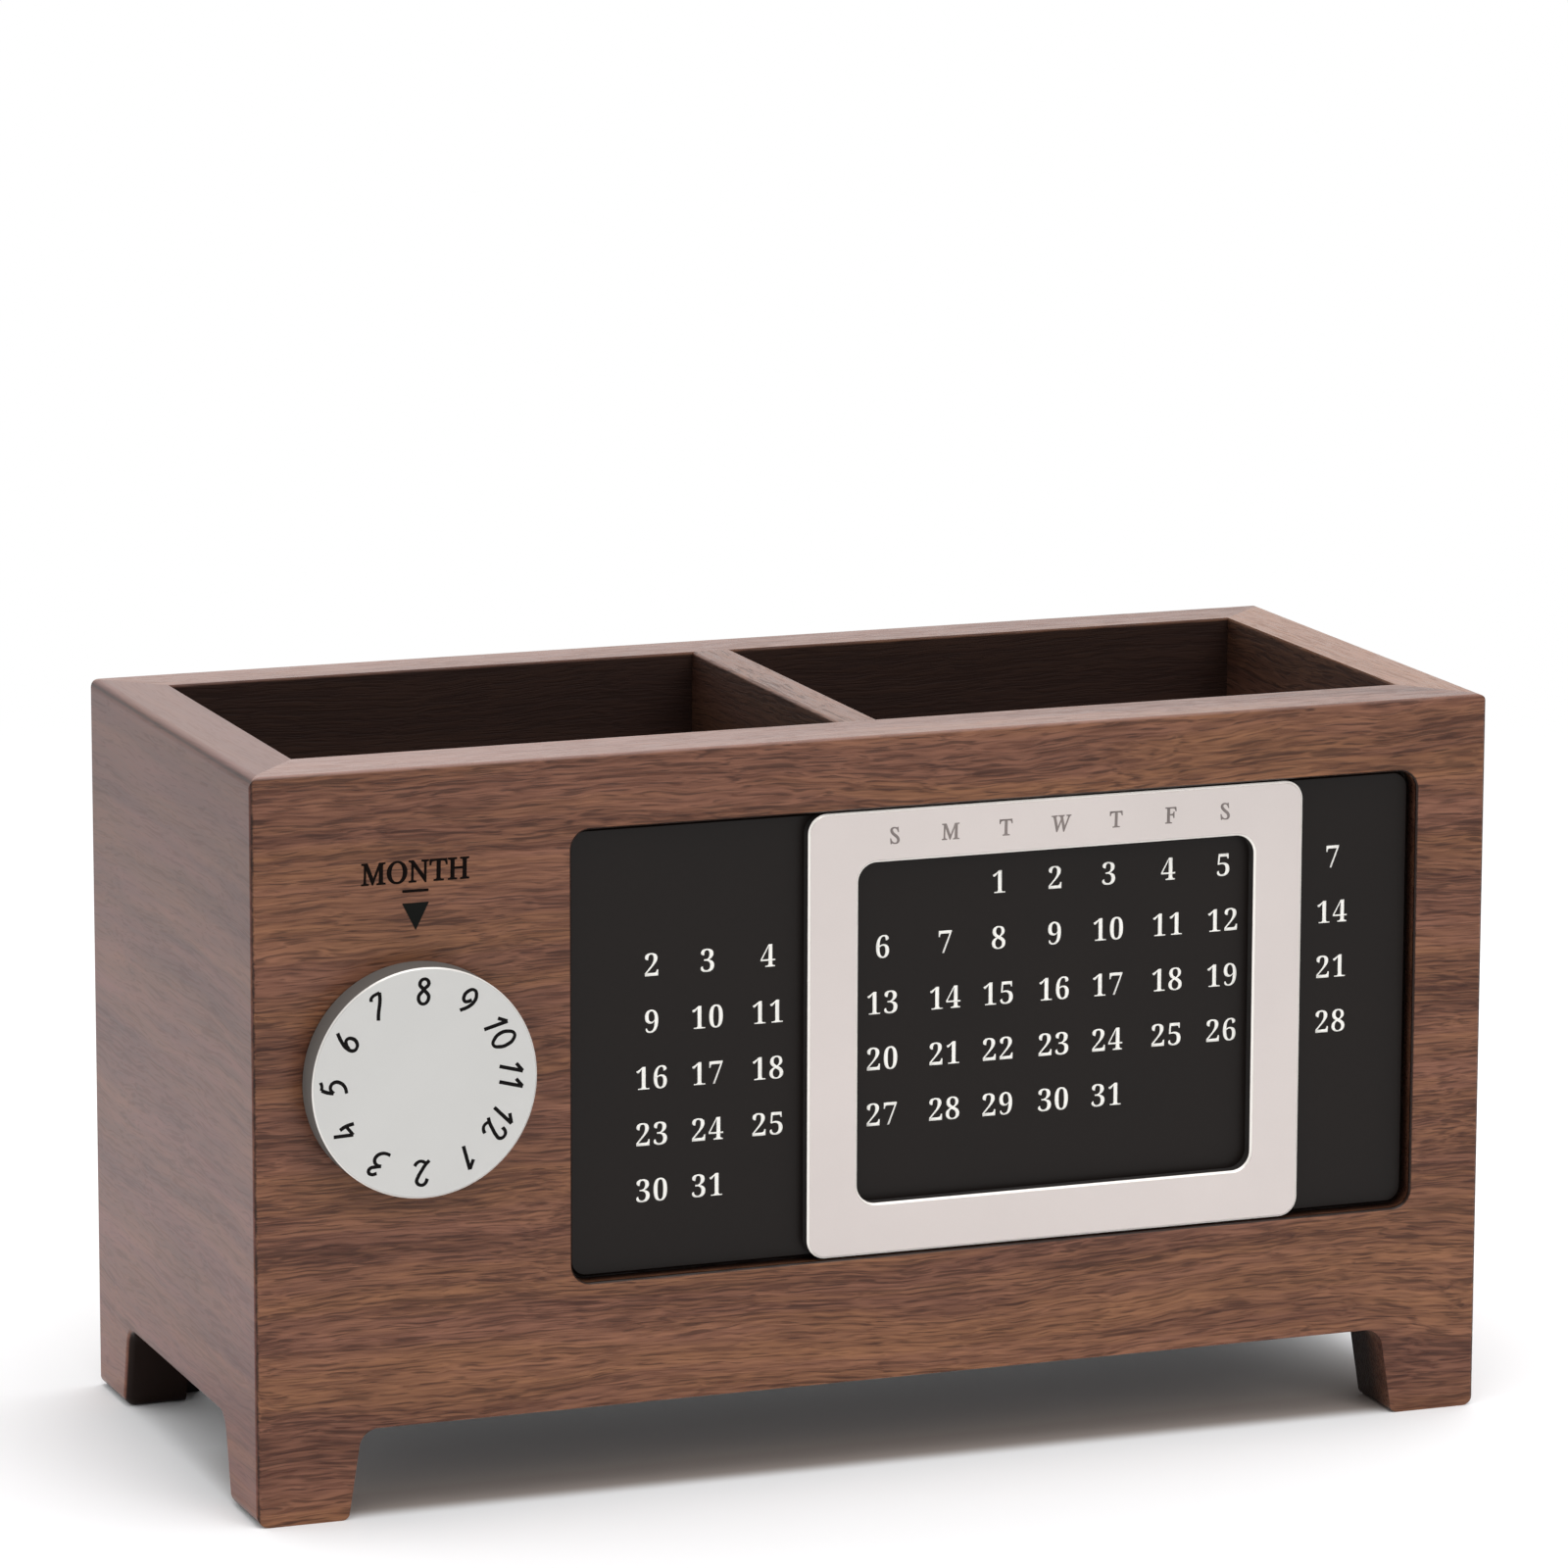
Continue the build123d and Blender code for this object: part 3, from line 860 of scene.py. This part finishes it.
@dataclass
class WoodenBox:
    """The mitred box with its divider, splines and burnt month label.

    The mouth is the edge of the recess for the plate, and a fade is how far in from the sides of
    a cut its painted shade reaches full strength.
    """

    label_x: float = -74.7 * MM
    label_base: float = 96.75 * MM
    label_height: float = 3.2 * MM
    bar_z: float = 95.4 * MM
    bar_width: float = 4.1 * MM
    bar_height: float = 0.42 * MM
    bar_rounding: float = 0.126 * MM
    pointer_top: float = 93.6 * MM
    pointer_tip: float = 89.43 * MM
    pointer_width: float = 4.2 * MM
    pointer_rounding: float = 0.12 * MM
    letter_depth: float = 0.06 * MM
    arch_height: float = 11.5 * MM
    floor_groove: float = 4.0 * MM
    divider_housing: float = 3.0 * MM
    plate_margin: float = 5.0 * MM
    mouth: Pair = (-0.15 * MM, 0.9 * MM)
    mouth_fade: float = 0.3 * MM
    recess_fade: float = 2.2 * MM
    arch_fade: float = 0.35 * MM
    front_arch_fade: float = 6.5 * MM
    front_y: float = field(init=False)
    places: dict[str, object] = field(init=False)
    front_cuts: tuple[tuple[Triple, Triple, float], ...] = field(init=False)

    def __post_init__(self) -> None:
        """Reads the outside of the box and its openings from the boards."""
        low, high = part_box("front_panel")
        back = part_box("back_panel")[1]
        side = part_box("right_panel")[1]
        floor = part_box("floor_panel")
        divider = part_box("divider")
        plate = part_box("calendar_plate")
        self.front_y = low.y
        inner_y = divider[0].y + self.divider_housing
        left, sill = plate[0].x - self.plate_margin, plate[0].z - self.plate_margin
        right, head = plate[1].x + self.plate_margin, plate[1].z + self.plate_margin
        # Painted shade goes on the faces of the recess, its mouth and the sawn arches.
        recess = ((left, low.y, sill), (right, inner_y, head), self.recess_fade)
        mouth = ((left, low.y + self.mouth[0], sill), (right, low.y + self.mouth[1], head),
                 self.mouth_fade)
        arches = ((-side.x, low.y, -self.arch_height), (side.x, back.y, 2 * self.arch_height))
        self.places = {
            "box_middle": (0.0, (low.y + back.y) / 2, high.z / 2),
            "box_half": (side.x, (back.y - low.y) / 2, high.z / 2),
            "inside_low": (floor[0].x + self.floor_groove, inner_y, 0.0),
            "inside_high": (floor[1].x - self.floor_groove, divider[1].y - self.divider_housing,
                            high.z),
            "cuts": ((*arches, self.arch_fade),),
        }
        self.front_cuts = ((*arches, self.front_arch_fade), recess, mouth)

    def dress(self) -> None:
        """Gives the boards and splines their walnut."""
        boards = {
            "front_panel": (Grain.LENGTH, (0.31, 0.02, 0.118), {
                "rubbed_share": (0.68, 0.24), "tone": (1.09, 0.95), "cuts": self.front_cuts}),
            "back_panel": (Grain.LENGTH, (0.62, 0.30, 0.41), {}),
            "left_panel": (Grain.DEPTH, (0.11, 0.57, 0.23), {
                # The left end's own colours are a mauve copy of the walnut that carries a painted
                # sheen, and its tone darkens it towards the top as painted shade.
                "light": shade(132, 86, 77), "dark": shade(73, 40, 35), "warm": shade(136, 91, 68),
                "contrast": 0.95, "fine": 0.32, "specular": 0.16, "tone": (1.08, 0.60),
                "rubbed_share": (0.38, 0.38), "arris_share": 0.55}),
            "right_panel": (Grain.DEPTH, (0.48, 0.79, 0.66), {
                "contrast": 0.8, "inside_share": 0.55, "rubbed": shade(168, 127, 106),
                "rubbed_share": (0.45, 0.45)}),
            "floor_panel": (Grain.LENGTH, (0.77, 0.14, 0.52), {}),
            "divider": (Grain.DEPTH, (0.25, 0.93, 0.37), {
                "contrast": 0.7, "inside_share": 0.68, "rubbed_share": (0.12, 0.12)}),
        }
        for node, (grain, shift, changes) in boards.items():
            finish = WalnutFinish(f"walnut_{node}", grain, shift, **(self.places | changes))
            dress(node, finish.build())
        pale = WalnutFinish("walnut_splines", Grain.LENGTH, (0.05, 0.44, 0.81), contrast=0.6,
                            inside_share=0.0).build()
        for corner in ("front_left", "front_right", "back_right", "back_left"):
            dress(f"mitre_spline_{corner}", pale)

    def letter(self) -> None:
        """Burns the month label, its bar and the pointer in the front board."""
        burnt = CoatFinish("burnt_wood", shade(15, 9, 7), 0.8, relief=0.02 * MM, unevenness=0.3,
                           specular=0.05).build()
        word = Layer("month_label", self.front_y)
        capitals = Type(self.label_height, width_ratio=0.975, shear=-0.25, weight=0.022)
        word.add(capitals.set("MONTH", self.letter_depth), self.label_x, self.label_base)
        bar = bmesh.new()
        bmesh.ops.create_cube(bar, size=1.0, matrix=Matrix.Diagonal(
            (self.bar_width, self.bar_height, self.letter_depth, 1.0)))
        word.add(self.rounded(bar, "bar", self.bar_rounding), self.label_x, self.bar_z)
        word.finish(burnt, "box", "walnut")
        pointer = Layer("month_pointer", self.front_y)
        pointer.add(self.triangle(), self.label_x, (self.pointer_top + self.pointer_tip) / 2)
        inlay = CoatFinish("pointer_inlay", shade(10, 11, 8), 0.6, relief=0.01 * MM,
                           specular=0.1).build()
        pointer.finish(inlay, "box", "walnut")

    def triangle(self) -> Mesh:
        """Makes the pointer, apex down.

        Returns:
            Its mesh, centred on the origin.
        """
        work = bmesh.new()
        height = self.pointer_top - self.pointer_tip
        # A triangle in a circle of radius 1 is 1.5 tall, and its middle is 0.25 off the centre.
        bmesh.ops.create_cone(work, cap_ends=True, segments=3, radius1=1.0, radius2=1.0,
                              depth=self.letter_depth, matrix=Matrix.Rotation(math.pi, 4, "Z"))
        bmesh.ops.translate(work, verts=work.verts, vec=(0.0, 0.25, 0.0))
        bmesh.ops.scale(work, verts=work.verts,
                        vec=(self.pointer_width / math.sqrt(3), height / 1.5, 1.0))
        return self.rounded(work, "pointer", self.pointer_rounding)

    def rounded(self, work: bmesh.types.BMesh, name: str, rounding: float) -> Mesh:
        """Rounds the corners of a flat mark.

        Args:
            work: The mark. It is used up.
            name: Name of the mesh.
            rounding: How far the corners are cut back.

        Returns:
            Its mesh.
        """
        corners = [edge for edge in work.edges
                   if abs(edge.verts[0].co.z - edge.verts[1].co.z) > self.letter_depth / 2]
        bmesh.ops.bevel(work, geom=corners, offset=rounding, segments=3, profile=0.5,
                        affect="EDGES", material=-1)
        return mesh_from(work, name)


@dataclass
class CalendarPlate:
    """The black plate with its printed numbers, and the tape and magnets behind it."""

    first_column: float = -36.8 * MM
    column_pitch: float = 9.333 * MM
    first_row: float = 89.55 * MM
    row_pitch: float = 8.7 * MM
    column_drift_mm: tuple[float, ...] = (
        0.0, -0.4, 0.0, 0.0, -0.1, 0.8, 0.25, 0.15, -0.28, 0.3, 0.2, 0.0, 0.0)
    rows: int = 6
    column_of_one: int = 6
    week: int = 7
    days: int = 31
    figure_height: float = 3.56 * MM
    figure_pitch: float = 2.78 * MM
    ink_depth: float = 0.06 * MM

    def dress(self) -> None:
        """Gives the plate, tape and magnets their finishes."""
        dress("calendar_plate", CoatFinish("black_paint", shade(20, 14, 11), 0.42,
                                           grit=0.6 * MM, specular=0.2).build())
        dress("plate_tape", CoatFinish("foam_tape", shade(225, 224, 218), 0.85, grit=0.15 * MM,
                                       relief=0.03 * MM).build())
        magnets = MetalFinish("nickel_plating", shade(200, 196, 186), 0.22,
                              texture=Texture.PLATED).build()
        for side in ("left", "right"):
            for level in ("lower", "upper"):
                dress(f"magnet_{level}_{side}", magnets)

    def letter(self) -> None:
        """Prints the numbers."""
        print_layer = Layer("plate_numbers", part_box("calendar_plate")[0].y)
        figures = Type(self.figure_height, width_ratio=0.925, weight=-0.009, body_height=0.715)
        for column, drift in enumerate(self.column_drift_mm):
            x = self.first_column + column * self.column_pitch + drift * MM
            for row in range(self.rows):
                day = column + 1 - self.column_of_one + self.week * row
                if not 1 <= day <= self.days:
                    continue
                word = str(day)
                z = self.first_row - row * self.row_pitch - self.figure_height / 2
                for index, sign in enumerate(word):
                    aside = (index - (len(word) - 1) / 2) * self.figure_pitch
                    print_layer.add(figures.set(sign, self.ink_depth), x + aside, z)
        white = CoatFinish("white_print", shade(236, 234, 228), 0.5, grit=0.12 * MM,
                           unevenness=0.04).build()
        print_layer.finish(white, "box", "plate_black")


@dataclass
class WeekFrame:
    """The aluminium frame that slides over the plate, with the initials of the weekdays."""

    initials: str = "SMTWTFS"
    middle_x: float = 28.72 * MM
    pitch: float = 9.08 * MM
    letters_z: float = 98.4 * MM
    letter_height: float = 2.45 * MM
    cut_depth: float = 0.05 * MM

    def dress(self) -> None:
        """Gives the frame its blasted and anodised finish."""
        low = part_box("slider_frame")[0]
        # The frame's bevels get a painted highlight and its side walls a painted shade.
        edges = Edges(low.y, bevel=0.35 * MM, bright=shade(255, 250, 243), wall=shade(42, 38, 36))
        dress("slider_frame", MetalFinish("blasted_aluminium", shade(214, 205, 201), 0.46,
                                          edges=edges).build())

    def letter(self) -> None:
        """Engraves the initials in the top rail."""
        rail = Layer("weekday_letters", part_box("slider_frame")[0].y)
        capitals = Type(self.letter_height, width_ratio=0.98, shear=-0.25, weight=0.016)
        base = self.letters_z - self.letter_height / 2
        for index, initial in enumerate(self.initials):
            x = self.middle_x + (index - (len(self.initials) - 1) / 2) * self.pitch
            rail.add(capitals.set(initial, self.cut_depth), x, base)
        grey = CoatFinish("engraved_grey", shade(118, 108, 104), 0.6, grit=0.1 * MM,
                          unevenness=0.2).build()
        rail.finish(grey, "week_frame", "frame_aluminium")


@dataclass
class MonthDial:
    """The aluminium dial with its ring of month numbers, and the fittings that it turns on."""

    centre_x: float = -75.1 * MM
    centre_z: float = 67.4 * MM
    ring_radius: float = 13.77 * MM
    months: int = 12
    month_at_top: int = 8
    ring_turn: float = math.radians(-1.0)
    ring_shift: float = -0.39 * MM
    ring_rise: float = 0.15 * MM
    ink_depth: float = 0.06 * MM

    def dress(self) -> None:
        """Gives the dial and its fittings their finishes."""
        centre = (self.centre_x, 0.0, self.centre_z)
        # The dial's bevel gets a painted highlight and its turned side a painted shade.
        edges = Edges(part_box("month_dial")[0].y, bevel=0.25 * MM)
        dress("month_dial", MetalFinish("blasted_dial", shade(203, 202, 199), 0.44,
                                        edges=edges).build())
        fittings = {
            "dial_bush": ("brass", shade(205, 170, 100), 0.28, Texture.TURNED),
            "disc_spring": ("spring_steel", shade(150, 152, 158), 0.32, Texture.TURNED),
            "flat_washer": ("zinc_washer", shade(176, 180, 186), 0.34, Texture.PLATED),
            "dial_screw": ("zinc_screw", shade(182, 185, 190), 0.26, Texture.PLATED),
        }
        for node, (name, colour, roughness, texture) in fittings.items():
            dress(node, MetalFinish(name, colour, roughness, texture=texture,
                                    centre=centre).build())
        dress("glide_washer", CoatFinish("white_nylon", shade(232, 230, 222), 0.5).build())
        plug = WalnutFinish("walnut_plug", Grain.LENGTH, (0.9, 0.61, 0.19), inside_share=0.0)
        dress("screw_cover", plug.build())

    def letter(self) -> None:
        """Writes the month numbers round the dial, their tops outwards."""
        ring = Layer("dial_numerals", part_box("month_dial")[0].y)
        pen = Pen()
        for step in range(self.months):
            month = (self.month_at_top - 1 + step) % self.months + 1
            turn = self.ring_turn - step * math.tau / self.months
            x = self.centre_x + self.ring_shift - self.ring_radius * math.sin(turn)
            z = self.centre_z + self.ring_rise + self.ring_radius * math.cos(turn)
            ring.add(pen.write(str(month), self.ink_depth), x, z, turn)
        ink = CoatFinish("black_ink", shade(8, 5, 5), 0.6, grit=0.12 * MM, specular=0.1).build()
        ring.finish(ink, "dial", "dial_aluminium")


@dataclass(frozen=True)
class Lamp:
    """A square lamp that shines on the middle of the box."""

    name: str
    place: Triple
    size: float
    power: float
    target: Triple = (0.0, 0.0, 0.05)

    def hang(self) -> None:
        """Hangs the lamp."""
        light = bpy.data.lights.new(self.name, "AREA")
        light.size = self.size
        light.energy = self.power
        lamp = in_scene(self.name, light)
        lamp.location = self.place
        ahead = Vector(self.target) - Vector(self.place)
        lamp.rotation_euler = ahead.to_track_quat("-Z", "Y").to_euler()


@dataclass(frozen=True)
class Studio:
    """The pale floor, the soft light and the camera.

    A range says where a change from one light to another starts and ends, as parts of the
    direction forwards or upwards. The shade under the box starts and ends behind its front.
    """

    floor_radius: float = 3.2
    shadow_radius: float = 0.24
    clear_radius: float = 0.62
    floor_colour: Colour = shade(243, 243, 244)
    shade_colour: Colour = shade(168, 157, 151)
    shade_start: Pair = (-1 * MM, 5 * MM)
    shade_end: Pair = (12 * MM, 45 * MM)
    shade_aside: float = 6 * MM
    horizon_strength: float = 0.25
    backdrop_strength: float = 2.2
    backdrop_range: Pair = (-0.3, 0.6)
    zenith_strength: float = 1.0
    zenith_range: Pair = (0.0, 0.8)
    room_strength: float = 0.3
    room_range: Pair = (-0.45, 0.15)
    lamps: tuple[Lamp, ...] = (Lamp("top_lamp", (0.05, -0.25, 1.1), 0.9, 5.0),
                               Lamp("front_lamp", (0.32, -1.3, 0.78), 0.8, 5.8))
    lens: float = 179.43
    sensor: float = 36.0
    camera_place: Triple = (-0.42403, -1.115765, 0.33367)
    yaw: float = math.radians(20.752)
    pitch: float = math.radians(11.123)
    roll: float = math.radians(0.158)

    def build(self) -> None:
        """Builds the studio."""
        self.floor()
        self.world()
        for lamp in self.lamps:
            lamp.hang()
        self.camera()

    def floor(self) -> None:
        """Lays the floor, which turns to plain white away from the object."""
        work = bmesh.new()
        bmesh.ops.create_circle(work, cap_ends=True, segments=96, radius=self.floor_radius)
        mesh = mesh_from(work, "floor")
        material, wiring, surface, place = new_material("pale_floor")
        wiring.fill(surface, Base_Color=self.contact_shade(wiring, place), Roughness=0.8,
                    Specular_IOR_Level=0.2)
        far = wiring.remap(wiring.vector("LENGTH", place), self.shadow_radius, self.clear_radius,
                           smooth=True)
        ray = wiring.node("ShaderNodeLightPath").outputs
        seen = wiring.sum("MAXIMUM", ray["Is Camera Ray"], ray["Is Glossy Ray"])
        plain = wiring.node("ShaderNodeEmission").outputs[0]
        mixed = wiring.node("ShaderNodeMixShader",
                            (wiring.sum("MULTIPLY", far, seen), surface.outputs[0], plain))
        wiring.fill(material.node_tree.nodes["Material Output"], Surface=mixed.outputs[0])
        mesh.materials.append(material)
        floor = in_scene("floor", mesh)

    def contact_shade(self, wiring: Wiring, place: Source) -> Source:
        """Darkens the floor close behind the front of the box, as the photograph shows it.

        Args:
            wiring: The floor material's wiring.
            place: Coordinates on the floor.

        Returns:
            The floor's colour.
        """
        across, deep, _ = wiring.split(place)
        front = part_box("front_panel")[0]
        behind = wiring.sum("SUBTRACT", deep, front.y)
        aside = wiring.remap(wiring.sum("ABSOLUTE", across), -front.x - self.shade_aside, -front.x,
                             1.0, 0.0)
        share = wiring.sum("MULTIPLY", wiring.remap(behind, *self.shade_start, smooth=True),
                           wiring.remap(behind, *self.shade_end, 1.0, 0.0))
        return wiring.blend(wiring.sum("MULTIPLY", share, aside), self.floor_colour,
                            self.shade_colour)

    def world(self) -> None:
        """Fills the surroundings with soft light from above.

        The backdrop looks plain white, also in reflections, and the room in front of it darker.
        """
        world = bpy.data.worlds.new("soft_studio")
        world.use_nodes = True
        bpy.context.scene.world = world
        wiring = Wiring(world.node_tree)
        ray = wiring.node("ShaderNodeLightPath").outputs
        _, ahead, up = wiring.split(wiring.node("ShaderNodeTexCoord").outputs["Generated"])
        low = wiring.remap(ahead, *self.backdrop_range, self.horizon_strength,
                           self.backdrop_strength, smooth=True)
        lit = wiring.remap(up, *self.zenith_range, low, self.zenith_strength, smooth=True)
        shown = wiring.remap(ahead, *self.room_range, self.room_strength, 1.0, smooth=True)
        level = wiring.remap(ray["Is Glossy Ray"], 0.0, 1.0, lit, shown)
        wiring.fill(world.node_tree.nodes["Background"], Color=(1.0, 1.0, 1.0, 1.0),
                    Strength=wiring.remap(ray["Is Camera Ray"], 0.0, 1.0, level, 1.0))

    def camera(self) -> None:
        """Places the camera where the photograph was taken."""
        lens = bpy.data.cameras.new("camera")
        lens.lens = self.lens
        lens.sensor_width = self.sensor
        lens.sensor_fit = "HORIZONTAL"
        lens.clip_start = 0.05
        camera = in_scene("camera", lens)
        camera.matrix_world = (
            Matrix.Translation(self.camera_place) @ Matrix.Rotation(-self.yaw, 4, "Z")
            @ Matrix.Rotation(math.pi / 2 - self.pitch, 4, "X") @ Matrix.Rotation(self.roll, 4, "Z"))
        bpy.context.scene.camera = camera


def main() -> None:
    """Builds and dresses the whole holder."""
    logging.basicConfig(level=logging.INFO, format="%(name)s: %(message)s")
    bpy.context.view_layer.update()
    bpy.context.scene.view_settings.view_transform = "Standard"
    Studio().build()
    for part in (WoodenBox(), CalendarPlate(), WeekFrame(), MonthDial()):
        part.dress()
        part.letter()


if __name__ == "__main__":
    main()
